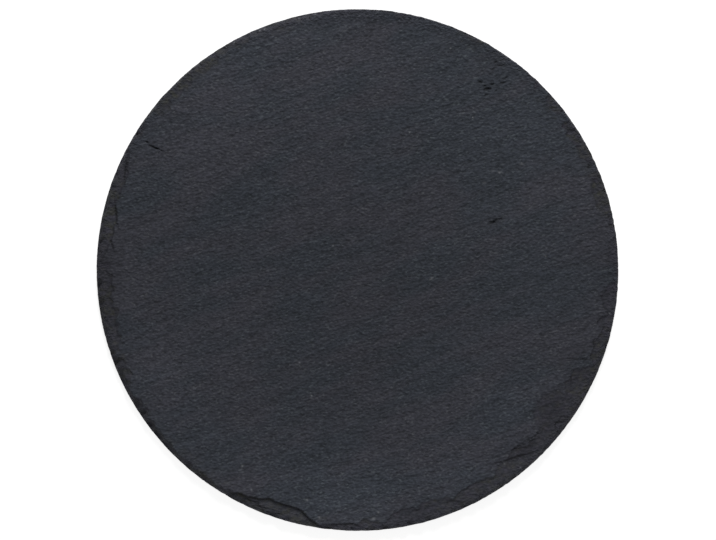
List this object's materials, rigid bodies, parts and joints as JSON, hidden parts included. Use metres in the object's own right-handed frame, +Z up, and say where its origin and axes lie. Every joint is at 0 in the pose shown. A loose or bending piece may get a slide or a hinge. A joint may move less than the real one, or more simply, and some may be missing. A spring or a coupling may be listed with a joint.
{
  "type": "slate serving board",
  "caption": "Round slate serving board with a flat riven face, a hand-dressed chipped rim and small stick-on foam feet underneath.",
  "frame": {"origin": "on the table under the middle of the round slate, at the undersides of the foam feet", "axes": "+Z up, square to the serving face; +Y towards the top of the picture, where the rim is dressed least; +X to the picture's right"},
  "size_m": [0.3, 0.3, 0.0077],
  "materials": {
    "slate": "matte",
    "foam": "matte",
    "adhesive": "satin"
  },
  "bodies": {
    "root": {"slate_disc": "slate", "foot_pad_front_left": "foam", "foot_pad_front_right": "foam", "foot_pad_back_left": "foam", "foot_pad_back_right": "foam", "adhesive_film_front_left": "adhesive", "adhesive_film_front_right": "adhesive", "adhesive_film_back_left": "adhesive", "adhesive_film_back_right": "adhesive"}
  },
  "joints": []
}
